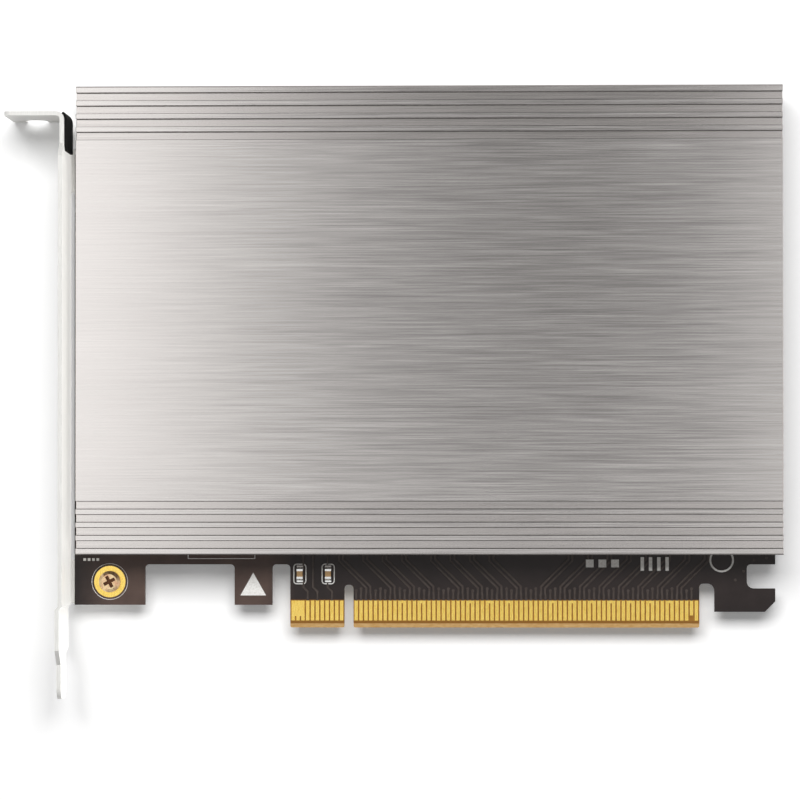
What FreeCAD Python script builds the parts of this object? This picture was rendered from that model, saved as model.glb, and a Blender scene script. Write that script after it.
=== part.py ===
import FreeCAD, Part
import math
import os

from FreeCAD import Vector

# A PCI Express x16 card that carries four NVMe modules under one extruded aluminium cover.
# X runs along the card, away from its slot bracket. Y runs up from the bottom of the edge contacts.
# Z points out of the component side. The origin is on the centre line of the key slot, at the
# board's bottom edge, on its component face. All sizes are in millimetres.

# Circuit board: 1.57 mm glass epoxy, full height.
BOARD_LENGTH = 144.4
BOARD_LEFT = -56.7
BOARD_TOP = 111.15
BOARD_THICKNESS = 1.57
BOARD_LOWER_EDGE = 13.0
FOOT_BOTTOM = 4.65
BRACKET_FOOT_WIDTH = 14.6
SMALL_FOOT_WIDTH = 7.8
SMALL_FOOT_GAP = 3.7
NECK_NOTCH_WIDTH = 2.8
ROUTER_RADIUS = 0.8
CORNER_RADIUS = 0.3
PLATING = 0.05

# Edge connector, as the card standard lays it out.
PIN_PITCH = 1.0
FIRST_PIN_FROM_KEY = 1.5
PINS_BEFORE_KEY = 11
PINS_AFTER_KEY = 71
TAB_MARGIN = 0.6
KEY_WIDTH = 1.9
KEY_HEIGHT = 8.8
KEY_RADIUS = 0.85
BEVEL_LENGTH = 1.35
BEVEL_DEPTH = 0.45
PAD_WIDTH = 0.7
PAD_BOTTOM = 1.45
PAD_TOP = 5.55
SHORT_PAD_BOTTOM = 2.5
JOINED_PAD_HEIGHT = 0.55
POWER_PAD_SPLIT = 0.9
FRONT_LANE_PINS = (14, 19, 23, 27, 33, 37, 41, 45, 50, 54, 58, 62, 66, 70, 74, 78)
PINS_PER_TWIN_GROUND = 4

# Retention hook at the end of the edge connector.
HOOK_GAP = 3.1
HOOK_GAP_TOP = 9.05
HOOK_BOTTOM = 3.25
HOOK_CHAMFER = 2.15
HOOK_OPENING_BOTTOM = 8.05
HOOK_OPENING_DEPTH = 5.85
HOOK_OPENING_RADIUS = 1.5

# Slot bracket: folded steel sheet of the full-height standard.
SHEET = 0.86
BRACKET_TO_BOARD = 0.95
BRACKET_WIDTH = 18.42
BRACKET_TOP = 105.7
BRACKET_BOTTOM = -14.3
TAB_LENGTH = 11.43
TAB_OFFSET = 3.17
TAB_BEND_RADIUS = 1.6
TAB_CORNER_RADIUS = 1.2
TAB_SLOT_WIDTH = 4.42
TAB_SLOT_DEPTH = 5.4
TAB_SLOT_FROM_PLATE = 6.35
NECK_SHOULDER_BOTTOM = 96.6
NECK_SHOULDER_TOP = 99.2
NECK_BACK_SHOULDER = 3.6
TONGUE_WIDTH = 10.19
TONGUE_FRONT_SETBACK = 3.7
TONGUE_SHOULDER_TOP = -4.2
TONGUE_SHOULDER_FRONT = 3.0
TONGUE_SHOULDER_BACK = 1.0
TONGUE_RADIUS = 2.6
JOGGLE = 0.6
JOGGLE_TOP = 4.7
JOGGLE_HEIGHT = 0.6
EAR_BEND_RADIUS = 0.5
EAR_WIDTH = 9.0
EAR_BEYOND_HOLE = 4.4
EAR_CORNER_RADIUS = 2.0

# Pan heads, as shares of their height and radius.
HEAD_RIM_SHARE = 0.5
HEAD_CROWN_SHARE = 0.7
RECESS_LENGTH_SHARE = 1.16
RECESS_WIDTH_SHARE = 0.32

# Bracket screws, with their gold rings on the board.
BRACKET_HOLE_FROM_LEFT = 7.3
BRACKET_HOLE_LOW = 9.45
BRACKET_HOLE_SPACING = 85.09
BRACKET_HOLE_RADIUS = 1.65
RING_INNER_RADIUS = 1.75
RING_OUTER_RADIUS = 3.25
BRACKET_SCREW_RADIUS = 1.5
BRACKET_SCREW_HEAD_RADIUS = 2.2
BRACKET_SCREW_HEAD_HEIGHT = 1.3
BRACKET_SCREW_BEYOND_EAR = 0.6
BRACKET_SCREW_TURN = 28.0
THREAD_CLEARANCE = 0.03

# Black pad on the bracket's neck.
NECK_PAD_THICKNESS = 0.5
NECK_PAD_BOTTOM = 97.7
NECK_PAD_BACK = -0.5
NECK_PAD_FROM_FRONT = 1.02
NECK_PAD_WRAP = 50.0
NECK_PAD_CORNER = 2.0

# Heat sink: one extrusion along X, with grooves along its long edges and a rail under each.
SINK_SHIFT = 1.2
SINK_BELOW_TOP = 0.2
SINK_BOTTOM = 15.15
SINK_HEIGHT = 10.0
CHANNEL_HEIGHT = 5.7
CHANNEL_RADIUS = 0.8
RAIL_WIDTH = 4.0
SINK_CHAMFER = 0.25
GROOVES_PER_EDGE = 4
GROOVE_PITCH = 2.68
GROOVE_WIDTH = 1.6
GROOVE_DEPTH = 1.5
FIRST_LAND = 1.3

# Screws from the back of the board into the rails.
SINK_SCREW_RADIUS = 1.0
SINK_SCREW_HOLE_RADIUS = 1.2
SINK_SCREW_HEAD_RADIUS = 1.9
SINK_SCREW_HEAD_HEIGHT = 1.2
SINK_SCREW_DEPTH = 4.0
SINK_SCREW_TIP_ROOM = 0.6
SINK_SCREW_END_DISTANCE = 12.0
SINK_SCREWS_PER_RAIL = 3

# Module bays, side by side, each with its socket at the lower rail.
BAY_COUNT = 4
BAY_PITCH = 25.5
LAST_BAY_FROM_RIGHT = 13.2
MODULE_LENGTH = 80.0
SOCKET_WIDTH = 21.9
SOCKET_DEPTH = 8.7
SOCKET_HEIGHT = 4.2
SOCKET_TO_RAIL = 1.6
SOCKET_CHEEK = 0.85
SOCKET_UNDERSIDE = 0.3
SOCKET_BACK_SKIN = 0.7
SOCKET_CHANNEL = 0.55
SOCKET_LIP_LENGTH = 6.2
SOCKET_SLOT_BOTTOM = 1.9
SOCKET_SLOT_TOP = 3.2
SOCKET_MOUTH_CHAMFER = 0.4
CARD_EDGE_FROM_BACK = 1.6
KEY_RIB_WIDTH = 1.0
KEY_RIB_FROM_CENTRE = 6.125
CONTACT_PITCH = 0.5
CONTACT_POSITIONS = 38
CONTACT_WIDTH = 0.2
CONTACT_THICKNESS = 0.12
CONTACT_TAIL = 0.9

# Threaded standoff that carries a module's free end.
STANDOFF_RADIUS = 2.75
STANDOFF_HEIGHT = 2.2
STANDOFF_STEM_RADIUS = 1.5
STANDOFF_STEM_CLEARANCE = 0.05
STANDOFF_THREAD_RADIUS = 0.8

# Thermal pads under the cover.
THERMAL_PAD_WIDTH = 20.0
THERMAL_PAD_THICKNESS = 1.1
THERMAL_PAD_END_GAP = 3.0

# Power stage beside the bays, and the clock buffer.
INDUCTOR_SIZE = (10.6, 11.4, 4.0)
INDUCTOR_FOOT = (2.4, 0.25)
INDUCTOR_CHAMFER = 0.8
REGULATOR_SIZE = (6.0, 5.0, 0.95)
BUFFER_SIZE = (5.0, 5.0, 0.9)
CHIP_CHAMFER = 0.12
BULK_CAPACITOR_SIZE = (4.3, 7.3, 2.8)
POWER_STAGE_X = 14.5
POWER_STAGE_Y = 52.0
POWER_STAGE_PITCH = 18.0
REGULATOR_FROM_INDUCTOR = 11.5
BULK_CAPACITOR_FROM_INDUCTOR = 22.0
BUFFER_Y = 36.0

# Two chip capacitors between the cover and the edge contacts.
CHIP_SIZE = (1.25, 2.0, 1.0)
CHIP_TERMINAL = 0.42
CHIP_TERMINAL_WALL = 0.04
CHIP_X = (-10.12, -4.28)
CHIP_Y = 11.05

# Sizes worked out from the ones above.
board_right = BOARD_LEFT + BOARD_LENGTH
board_back = -BOARD_THICKNESS
first_tab_left = -(FIRST_PIN_FROM_KEY + (PINS_BEFORE_KEY - 1) * PIN_PITCH + TAB_MARGIN)
second_tab_right = FIRST_PIN_FROM_KEY + (PINS_AFTER_KEY - 1) * PIN_PITCH + TAB_MARGIN
hook_left = second_tab_right + HOOK_GAP
plate_inner = BOARD_LEFT - BRACKET_TO_BOARD
plate_outer = plate_inner - SHEET
plate_back = board_back - SHEET
plate_front = plate_back + BRACKET_WIDTH
bracket_hole_x = BOARD_LEFT + BRACKET_HOLE_FROM_LEFT
bracket_hole_heights = (BRACKET_HOLE_LOW, BRACKET_HOLE_LOW + BRACKET_HOLE_SPACING)
sink_left = BOARD_LEFT + SINK_SHIFT
sink_top = BOARD_TOP - SINK_BELOW_TOP
socket_back = SINK_BOTTOM + RAIL_WIDTH + SOCKET_TO_RAIL
socket_mouth = socket_back + SOCKET_DEPTH
card_edge = socket_back + CARD_EDGE_FROM_BACK
standoff_y = card_edge + MODULE_LENGTH
last_bay = board_right - LAST_BAY_FROM_RIGHT
bay_centres = [last_bay - (BAY_COUNT - 1 - bay) * BAY_PITCH for bay in range(BAY_COUNT)]


def box(x, y, z):
    """A block between two limits along each axis."""
    return Part.makeBox(x[1] - x[0], y[1] - y[0], z[1] - z[0], Vector(x[0], y[0], z[0]))


def block_at(centre_x, centre_y, size, bottom=0.0):
    """A block of the given size, centred in X and Y, standing at bottom."""
    half_x = size[0] / 2
    half_y = size[1] / 2
    return box(
        (centre_x - half_x, centre_x + half_x),
        (centre_y - half_y, centre_y + half_y),
        (bottom, bottom + size[2]),
    )


def cylinder(x, y, z, radius):
    """An upright cylinder between two heights."""
    return Part.makeCylinder(radius, z[1] - z[0], Vector(x, y, z[0]))


def rounded_outline(corners):
    """A closed wire through (u, v, radius) corners in the XY plane, with an arc at each radius."""
    count = len(corners)
    ends = []
    for index, (u, v, radius) in enumerate(corners):
        here = Vector(u, v, 0)
        if radius == 0:
            ends.append((here, None, here))
            continue
        before = (Vector(*corners[index - 1][:2], 0) - here).normalize()
        after = (Vector(*corners[(index + 1) % count][:2], 0) - here).normalize()
        half = before.getAngle(after) / 2
        reach = radius / math.tan(half)
        centre = here + (before + after).normalize() * (radius / math.sin(half))
        middle = centre + (here - centre).normalize() * radius
        ends.append((here + before * reach, middle, here + after * reach))
    edges = []
    for index, (start, middle, end) in enumerate(ends):
        if middle is not None:
            edges.append(Part.Arc(start, middle, end).toShape())
        following = ends[(index + 1) % count][0]
        if (following - end).Length > 1e-6:
            edges.append(Part.LineSegment(end, following).toShape())
    return Part.Wire(edges)


def prism(corners, start, length, plane="XY"):
    """Extrudes an outline: XY along Z, YZ along X or XZ along Y, from start for length."""
    face = Part.Face(rounded_outline([tuple(corner) + (0,) * (3 - len(corner)) for corner in corners]))
    if plane == "XY":
        return face.translated(Vector(0, 0, start)).extrude(Vector(0, 0, length))
    if plane == "YZ":
        face.rotate(Vector(0, 0, 0), Vector(1, 1, 1), 120)
        return face.translated(Vector(start, 0, 0)).extrude(Vector(length, 0, 0))
    face.rotate(Vector(0, 0, 0), Vector(1, 0, 0), 90)
    return face.translated(Vector(0, start, 0)).extrude(Vector(0, length, 0))


def rounded_edges(shape, radius, wanted):
    """Fillets the edges whose middle point passes the test."""
    chosen = []
    for edge in shape.Edges:
        middle = edge.valueAt((edge.FirstParameter + edge.LastParameter) / 2)
        if wanted(edge, middle):
            chosen.append(edge)
    return shape.makeFillet(radius, chosen)


def bevelled_top(shape, size):
    """Chamfers the edges round a block's top face."""
    top = shape.BoundBox.ZMax
    edges = [edge for edge in shape.Edges if edge.BoundBox.ZMin > top - 1e-6]
    return shape.makeChamfer(size, edges)


def save(node, *solids):
    """Writes one node, as a single solid or a group of separate ones."""
    shape = solids[0] if len(solids) == 1 else Part.makeCompound(list(solids))
    shape.exportStep(os.path.join("parts", node + ".step"))


def pin_x(pin):
    """Centre of an edge contact, numbered along the card from the bracket end."""
    if pin <= PINS_BEFORE_KEY:
        return -FIRST_PIN_FROM_KEY - (PINS_BEFORE_KEY - pin) * PIN_PITCH
    return FIRST_PIN_FROM_KEY + (pin - PINS_BEFORE_KEY - 1) * PIN_PITCH


def sink_screw_places():
    """Where the cover's screws stand, evenly along the middle of both rails."""
    first = sink_left + SINK_SCREW_END_DISTANCE
    step = (BOARD_LENGTH - 2 * SINK_SCREW_END_DISTANCE) / (SINK_SCREWS_PER_RAIL - 1)
    for rail_middle in (SINK_BOTTOM + RAIL_WIDTH / 2, sink_top - RAIL_WIDTH / 2):
        for screw in range(SINK_SCREWS_PER_RAIL):
            yield first + screw * step, rail_middle


# The board is routed from one sheet: two feet beside the bracket, the two contact tabs with the
# key between them, and the retention hook.
def circuit_board():
    small_foot_right = first_tab_left - SMALL_FOOT_GAP
    small_foot_left = small_foot_right - SMALL_FOOT_WIDTH
    bracket_foot_right = BOARD_LEFT + BRACKET_FOOT_WIDTH
    hook_inner = board_right - HOOK_OPENING_DEPTH
    corners = [
        (BOARD_LEFT, FOOT_BOTTOM),
        (bracket_foot_right, FOOT_BOTTOM),
        (bracket_foot_right, BOARD_LOWER_EDGE, ROUTER_RADIUS),
        (small_foot_left, BOARD_LOWER_EDGE, ROUTER_RADIUS),
        (small_foot_left, FOOT_BOTTOM),
        (small_foot_right, FOOT_BOTTOM),
        (small_foot_right, BOARD_LOWER_EDGE, ROUTER_RADIUS),
        (first_tab_left, BOARD_LOWER_EDGE, ROUTER_RADIUS),
        (first_tab_left, 0, CORNER_RADIUS),
        (-KEY_WIDTH / 2, 0, CORNER_RADIUS),
        (-KEY_WIDTH / 2, KEY_HEIGHT, KEY_RADIUS),
        (KEY_WIDTH / 2, KEY_HEIGHT, KEY_RADIUS),
        (KEY_WIDTH / 2, 0, CORNER_RADIUS),
        (second_tab_right, 0, CORNER_RADIUS),
        (second_tab_right, HOOK_GAP_TOP, ROUTER_RADIUS),
        (hook_left, HOOK_GAP_TOP, HOOK_OPENING_RADIUS),
        (hook_left, HOOK_BOTTOM),
        (board_right - HOOK_CHAMFER, HOOK_BOTTOM),
        (board_right, HOOK_BOTTOM + HOOK_CHAMFER),
        (board_right, HOOK_OPENING_BOTTOM),
        (hook_inner, HOOK_OPENING_BOTTOM, HOOK_OPENING_RADIUS),
        (hook_inner, BOARD_LOWER_EDGE, ROUTER_RADIUS),
        (board_right, BOARD_LOWER_EDGE),
        (board_right, BOARD_TOP),
        (BOARD_LEFT + NECK_NOTCH_WIDTH, BOARD_TOP),
        (BOARD_LEFT + NECK_NOTCH_WIDTH, NECK_PAD_BOTTOM, ROUTER_RADIUS),
        (BOARD_LEFT, NECK_PAD_BOTTOM),
    ]
    board = prism(corners, board_back, BOARD_THICKNESS)
    holes = []
    for height in bracket_hole_heights:
        holes.append((bracket_hole_x, height, BRACKET_HOLE_RADIUS))
    for x, y in sink_screw_places():
        holes.append((x, y, SINK_SCREW_HOLE_RADIUS))
    for centre_x in bay_centres:
        holes.append((centre_x, standoff_y, STANDOFF_STEM_RADIUS + STANDOFF_STEM_CLEARANCE))
    cutters = [cylinder(x, y, (board_back - 1, 1), radius) for x, y, radius in holes]
    for face, inward in ((0, -1), (board_back, 1)):
        wedge = [(-1, face - inward), (BEVEL_LENGTH, face), (0, face + inward * BEVEL_DEPTH),
                 (-1, face + inward * BEVEL_DEPTH)]
        cutters.append(prism(wedge, BOARD_LEFT, BOARD_LENGTH, "YZ"))
    return board.cut(Part.makeCompound(cutters))


# Gold contacts on both faces. The three supply contacts on the component side are one field that
# splits at its foot, and each pair of neighbouring grounds is joined at its top.
def contact(pin, bottom, level):
    left = pin_x(pin) - PAD_WIDTH / 2
    return box((left, left + PAD_WIDTH), (bottom, PAD_TOP), (level, level + PLATING))


def front_contacts():
    supply_left = pin_x(1) - PAD_WIDTH / 2
    supply_right = pin_x(3) + PAD_WIDTH / 2
    supply = box((supply_left, supply_right), (PAD_BOTTOM + POWER_PAD_SPLIT, PAD_TOP), (0, PLATING))
    supply = supply.fuse([contact(pin, PAD_BOTTOM, 0) for pin in (1, 2, 3)]).removeSplitter()
    solids = [supply]
    twin_grounds = []
    for pin, following in zip(FRONT_LANE_PINS, FRONT_LANE_PINS[1:]):
        if following - pin == PINS_PER_TWIN_GROUND:
            twin_grounds.append(pin + 2)
    last = PINS_BEFORE_KEY + PINS_AFTER_KEY
    pin = 4
    while pin <= last:
        pad = contact(pin, SHORT_PAD_BOTTOM if pin == last - 1 else PAD_BOTTOM, 0)
        if pin in twin_grounds:
            bridge = box((pin_x(pin), pin_x(pin + 1)), (PAD_TOP - JOINED_PAD_HEIGHT, PAD_TOP), (0, PLATING))
            pad = pad.fuse([contact(pin + 1, PAD_BOTTOM, 0), bridge]).removeSplitter()
            pin += 1
        solids.append(pad)
        pin += 1
    return solids


def back_contacts():
    level = board_back - PLATING
    solids = [contact(1, SHORT_PAD_BOTTOM, level)]
    for pin in range(2, PINS_BEFORE_KEY + PINS_AFTER_KEY + 1):
        solids.append(contact(pin, PAD_BOTTOM, level))
    return solids


def ring_plating():
    rings = []
    for height in bracket_hole_heights:
        disc = cylinder(bracket_hole_x, height, (0, PLATING), RING_OUTER_RADIUS)
        rings.append(disc.cut(cylinder(bracket_hole_x, height, (-1, 1), RING_INNER_RADIUS)))
    return rings


# The bracket is one folded sheet. Its side profile carries the tab's bend and the joggle above the
# tongue. Its front outline carries the neck, the shoulders and the tongue. Two ears are folded in
# behind the board.
def slot_bracket():
    neck_front = plate_front - TAB_OFFSET
    neck_back = plate_back - TAB_OFFSET
    tongue_front = plate_front - TONGUE_FRONT_SETBACK
    tongue_back = tongue_front - TONGUE_WIDTH
    joggle_bottom = JOGGLE_TOP - JOGGLE_HEIGHT
    tab_end = plate_outer - TAB_LENGTH
    side = [
        (tab_end, BRACKET_TOP),
        (plate_inner, BRACKET_TOP, TAB_BEND_RADIUS),
        (plate_inner, JOGGLE_TOP),
        (plate_inner - JOGGLE, joggle_bottom),
        (plate_inner - JOGGLE, BRACKET_BOTTOM),
        (plate_outer - JOGGLE, BRACKET_BOTTOM),
        (plate_outer - JOGGLE, joggle_bottom),
        (plate_outer, JOGGLE_TOP),
        (plate_outer, BRACKET_TOP - SHEET, TAB_BEND_RADIUS - SHEET),
        (tab_end, BRACKET_TOP - SHEET),
    ]
    front = [
        (BRACKET_TOP + 1, neck_back),
        (BRACKET_TOP + 1, neck_front),
        (NECK_SHOULDER_TOP, neck_front),
        (NECK_SHOULDER_BOTTOM, plate_front),
        (TONGUE_SHOULDER_TOP, plate_front),
        (TONGUE_SHOULDER_TOP - TONGUE_SHOULDER_FRONT, tongue_front),
        (BRACKET_BOTTOM, tongue_front, TONGUE_RADIUS),
        (BRACKET_BOTTOM, tongue_back, TONGUE_RADIUS),
        (TONGUE_SHOULDER_TOP - TONGUE_SHOULDER_BACK, tongue_back),
        (TONGUE_SHOULDER_TOP, plate_back),
        (NECK_SHOULDER_TOP + NECK_BACK_SHOULDER - TAB_OFFSET, plate_back),
        (NECK_SHOULDER_TOP + NECK_BACK_SHOULDER, neck_back),
    ]
    depth = neck_front - neck_back + 2 * TAB_OFFSET
    sheet = prism(side, neck_back, depth).common(
        prism(front, tab_end - 1, plate_inner - tab_end + 2, "YZ"))

    slot_x = plate_outer - TAB_SLOT_FROM_PLATE
    slot_radius = TAB_SLOT_WIDTH / 2
    slot_end = neck_back + TAB_SLOT_DEPTH
    tab_height = (BRACKET_TOP - SHEET - 1, BRACKET_TOP + 1)
    slot_sides = (slot_x - slot_radius, slot_x + slot_radius)
    sheet = sheet.cut(box(slot_sides, tab_height, (neck_back - 1, slot_end - slot_radius)))
    slot_round = Part.makeCylinder(
        slot_radius, SHEET + 2, Vector(slot_x, tab_height[0], slot_end - slot_radius), Vector(0, 1, 0))
    sheet = sheet.cut(slot_round)
    sheet = rounded_edges(
        sheet, TAB_CORNER_RADIUS,
        lambda edge, middle: abs(middle.x - tab_end) < 0.01 and abs(edge.Length - SHEET) < 0.01)

    bend_x = plate_inner + EAR_BEND_RADIUS
    bend_z = board_back + EAR_BEND_RADIUS
    ear_end = bracket_hole_x + EAR_BEYOND_HOLE
    ear_outline = [
        (plate_outer, bend_z),
        (plate_outer, plate_back, EAR_BEND_RADIUS + SHEET),
        (ear_end, plate_back),
        (ear_end, board_back),
        (plate_inner, board_back, EAR_BEND_RADIUS),
        (plate_inner, bend_z),
    ]
    for height in bracket_hole_heights:
        low = height - EAR_WIDTH / 2
        high = height + EAR_WIDTH / 2
        sheet = sheet.cut(box((plate_outer - 1, bend_x), (low, high), (neck_back - 1, bend_z)))
        ear = rounded_edges(
            prism(ear_outline, low, EAR_WIDTH, "XZ"), EAR_CORNER_RADIUS,
            lambda edge, middle: abs(middle.x - ear_end) < 0.01 and abs(edge.Length - SHEET) < 0.01)
        hole_radius = BRACKET_SCREW_RADIUS + THREAD_CLEARANCE
        hole = cylinder(bracket_hole_x, height, (plate_back - 1, 0), hole_radius)
        sheet = sheet.fuse(ear.cut(hole))
    return sheet.removeSplitter()


def pan_screw(shank_radius, shank_length, head_radius, head_height):
    """A pan-head screw with a cross recess, its head's seat at the origin and its head up."""
    shank = Part.makeCylinder(shank_radius, shank_length, Vector(0, 0, -shank_length))
    rim_height = head_height * HEAD_RIM_SHARE
    crown_radius = head_radius * HEAD_CROWN_SHARE
    rim = Part.makeCylinder(head_radius, rim_height)
    crown = Part.makeCone(head_radius, crown_radius, head_height - rim_height, Vector(0, 0, rim_height))
    wing_length = head_radius * RECESS_LENGTH_SHARE
    wing_width = head_radius * RECESS_WIDTH_SHARE
    wings = []
    for size in ((wing_length, wing_width), (wing_width, wing_length)):
        wings.append(block_at(0, 0, (size[0], size[1], head_height), rim_height))
    return shank.fuse([rim, crown]).cut(Part.makeCompound(wings)).removeSplitter()


def bracket_screws():
    length = PLATING + BOARD_THICKNESS + SHEET + BRACKET_SCREW_BEYOND_EAR
    screws = []
    for height in bracket_hole_heights:
        screw = pan_screw(
            BRACKET_SCREW_RADIUS, length, BRACKET_SCREW_HEAD_RADIUS, BRACKET_SCREW_HEAD_HEIGHT)
        screw.rotate(Vector(0, 0, 0), Vector(0, 0, 1), BRACKET_SCREW_TURN)
        screws.append(screw.translated(Vector(bracket_hole_x, height, PLATING)))
    return screws


def sink_screws():
    length = BOARD_THICKNESS + SINK_SCREW_DEPTH
    screws = []
    for x, y in sink_screw_places():
        screw = pan_screw(SINK_SCREW_RADIUS, length, SINK_SCREW_HEAD_RADIUS, SINK_SCREW_HEAD_HEIGHT)
        screw.rotate(Vector(0, 0, 0), Vector(1, 0, 0), 180)
        screws.append(screw.translated(Vector(x, y, board_back)))
    return screws


# A thin die-cut pad that lies on the neck's inner face and follows it round the tab's bend.
def neck_pad():
    bend_centre = Vector(plate_inner - TAB_BEND_RADIUS, BRACKET_TOP - TAB_BEND_RADIUS, 0)

    def on_bend(radius, degrees):
        turn = math.radians(degrees)
        return bend_centre + Vector(radius * math.cos(turn), radius * math.sin(turn), 0)

    inner = TAB_BEND_RADIUS
    outer = TAB_BEND_RADIUS + NECK_PAD_THICKNESS
    foot_inner = Vector(plate_inner, NECK_PAD_BOTTOM, 0)
    foot_outer = Vector(plate_inner + NECK_PAD_THICKNESS, NECK_PAD_BOTTOM, 0)
    half_wrap = NECK_PAD_WRAP / 2
    wire = Part.Wire([
        Part.LineSegment(foot_inner, foot_outer).toShape(),
        Part.LineSegment(foot_outer, on_bend(outer, 0)).toShape(),
        Part.Arc(on_bend(outer, 0), on_bend(outer, half_wrap), on_bend(outer, NECK_PAD_WRAP)).toShape(),
        Part.LineSegment(on_bend(outer, NECK_PAD_WRAP), on_bend(inner, NECK_PAD_WRAP)).toShape(),
        Part.Arc(on_bend(inner, NECK_PAD_WRAP), on_bend(inner, half_wrap), on_bend(inner, 0)).toShape(),
        Part.LineSegment(on_bend(inner, 0), foot_inner).toShape(),
    ])
    pad_front = plate_front - TAB_OFFSET - NECK_PAD_FROM_FRONT
    pad = Part.Face(wire).translated(Vector(0, 0, NECK_PAD_BACK))
    pad = pad.extrude(Vector(0, 0, pad_front - NECK_PAD_BACK))
    foot_corner = Vector(plate_inner + NECK_PAD_THICKNESS / 2, NECK_PAD_BOTTOM, pad_front)
    return rounded_edges(
        pad, NECK_PAD_CORNER,
        lambda edge, middle: middle.distanceToPoint(foot_corner) < 0.01)


# The cover's whole section is drawn once: chamfered long edges, grooves along both, and a channel
# between two rails. The rails are drilled and tapped from below.
def heat_sink():
    section = [
        (SINK_BOTTOM, 0),
        (SINK_BOTTOM, SINK_HEIGHT - SINK_CHAMFER),
        (SINK_BOTTOM + SINK_CHAMFER, SINK_HEIGHT),
    ]
    groove_floor = SINK_HEIGHT - GROOVE_DEPTH
    for groove in range(GROOVES_PER_EDGE):
        start = SINK_BOTTOM + FIRST_LAND + groove * GROOVE_PITCH
        section.append((start, SINK_HEIGHT))
        section.append((start, groove_floor))
        section.append((start + GROOVE_WIDTH, groove_floor))
        section.append((start + GROOVE_WIDTH, SINK_HEIGHT))
    mirrored = [(SINK_BOTTOM + sink_top - y, z) for y, z in reversed(section)]
    channel = [
        (sink_top - RAIL_WIDTH, 0),
        (sink_top - RAIL_WIDTH, CHANNEL_HEIGHT, CHANNEL_RADIUS),
        (SINK_BOTTOM + RAIL_WIDTH, CHANNEL_HEIGHT, CHANNEL_RADIUS),
        (SINK_BOTTOM + RAIL_WIDTH, 0),
    ]
    sink = prism(section + mirrored + channel, sink_left, BOARD_LENGTH, "YZ")
    hole_depth = SINK_SCREW_DEPTH + SINK_SCREW_TIP_ROOM
    radius = SINK_SCREW_RADIUS + THREAD_CLEARANCE
    holes = [cylinder(x, y, (-1, hole_depth), radius) for x, y in sink_screw_places()]
    return sink.cut(Part.makeCompound(holes))


# Each socket housing is an open jaw between two cheeks that stand on the board, with the key rib
# across its mouth. Its jaw leaves a gap behind the lower lip for the contacts.
def socket_housing(centre_x):
    left = centre_x - SOCKET_WIDTH / 2
    right = centre_x + SOCKET_WIDTH / 2
    back = socket_back
    upper_jaw = [
        (back, SOCKET_UNDERSIDE),
        (back + SOCKET_BACK_SKIN, SOCKET_UNDERSIDE),
        (back + SOCKET_BACK_SKIN, SOCKET_SLOT_TOP),
        (socket_mouth - SOCKET_MOUTH_CHAMFER, SOCKET_SLOT_TOP),
        (socket_mouth, SOCKET_SLOT_TOP + SOCKET_MOUTH_CHAMFER),
        (socket_mouth, SOCKET_HEIGHT),
        (back, SOCKET_HEIGHT),
    ]
    lip_back = back + SOCKET_BACK_SKIN + SOCKET_CHANNEL
    lower_lip = [
        (lip_back, SOCKET_UNDERSIDE),
        (back + SOCKET_LIP_LENGTH, SOCKET_UNDERSIDE),
        (back + SOCKET_LIP_LENGTH, SOCKET_SLOT_BOTTOM - SOCKET_MOUTH_CHAMFER),
        (back + SOCKET_LIP_LENGTH - SOCKET_MOUTH_CHAMFER, SOCKET_SLOT_BOTTOM),
        (lip_back, SOCKET_SLOT_BOTTOM),
    ]
    pieces = [
        prism(upper_jaw, left, SOCKET_WIDTH, "YZ"),
        prism(lower_lip, left, SOCKET_WIDTH, "YZ"),
    ]
    for cheek in (left, right - SOCKET_CHEEK):
        pieces.append(box((cheek, cheek + SOCKET_CHEEK), (back, socket_mouth - 1), (0, SOCKET_HEIGHT)))
    rib = centre_x + KEY_RIB_FROM_CENTRE - KEY_RIB_WIDTH / 2
    rib_end = back + SOCKET_LIP_LENGTH - SOCKET_MOUTH_CHAMFER
    slot_height = (SOCKET_SLOT_BOTTOM, SOCKET_SLOT_TOP)
    pieces.append(box((rib, rib + KEY_RIB_WIDTH), (lip_back, rib_end), slot_height))
    return pieces[0].fuse(pieces[1:]).removeSplitter()


# Each contact is a bent strip soldered to the board. The upper row leaves at the back and rises in
# the gap behind the lower lip. The lower row has one contact fewer and leaves under the lip.
def socket_contacts(centre_x):
    back = socket_back
    riser_back = back + SOCKET_BACK_SKIN
    thick = CONTACT_THICKNESS
    upper = [
        (back - CONTACT_TAIL, 0),
        (riser_back + thick, 0),
        (riser_back + thick, SOCKET_SLOT_TOP),
        (riser_back, SOCKET_SLOT_TOP),
        (riser_back, thick),
        (back - CONTACT_TAIL, thick),
    ]
    lip_front = back + SOCKET_LIP_LENGTH
    lower = [
        (lip_front - CONTACT_TAIL, 0),
        (lip_front + CONTACT_TAIL, 0),
        (lip_front + CONTACT_TAIL, thick),
        (lip_front - CONTACT_TAIL, thick),
    ]
    key_half = KEY_RIB_WIDTH / 2 + CONTACT_WIDTH
    solids = []
    for outline, count in ((upper, CONTACT_POSITIONS), (lower, CONTACT_POSITIONS - 1)):
        for position in range(count):
            offset = (position - (count - 1) / 2) * CONTACT_PITCH
            if abs(offset - KEY_RIB_FROM_CENTRE) < key_half:
                continue
            solids.append(prism(outline, centre_x + offset - CONTACT_WIDTH / 2, CONTACT_WIDTH, "YZ"))
    return solids


def module_standoff(centre_x):
    """A threaded collar on the board, with its stem soldered in the board's hole."""
    stem = cylinder(centre_x, standoff_y, (board_back, 0), STANDOFF_STEM_RADIUS)
    collar = cylinder(centre_x, standoff_y, (0, STANDOFF_HEIGHT), STANDOFF_RADIUS)
    thread = cylinder(centre_x, standoff_y, (board_back - 1, STANDOFF_HEIGHT + 1), STANDOFF_THREAD_RADIUS)
    return stem.fuse(collar).cut(thread)


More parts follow.
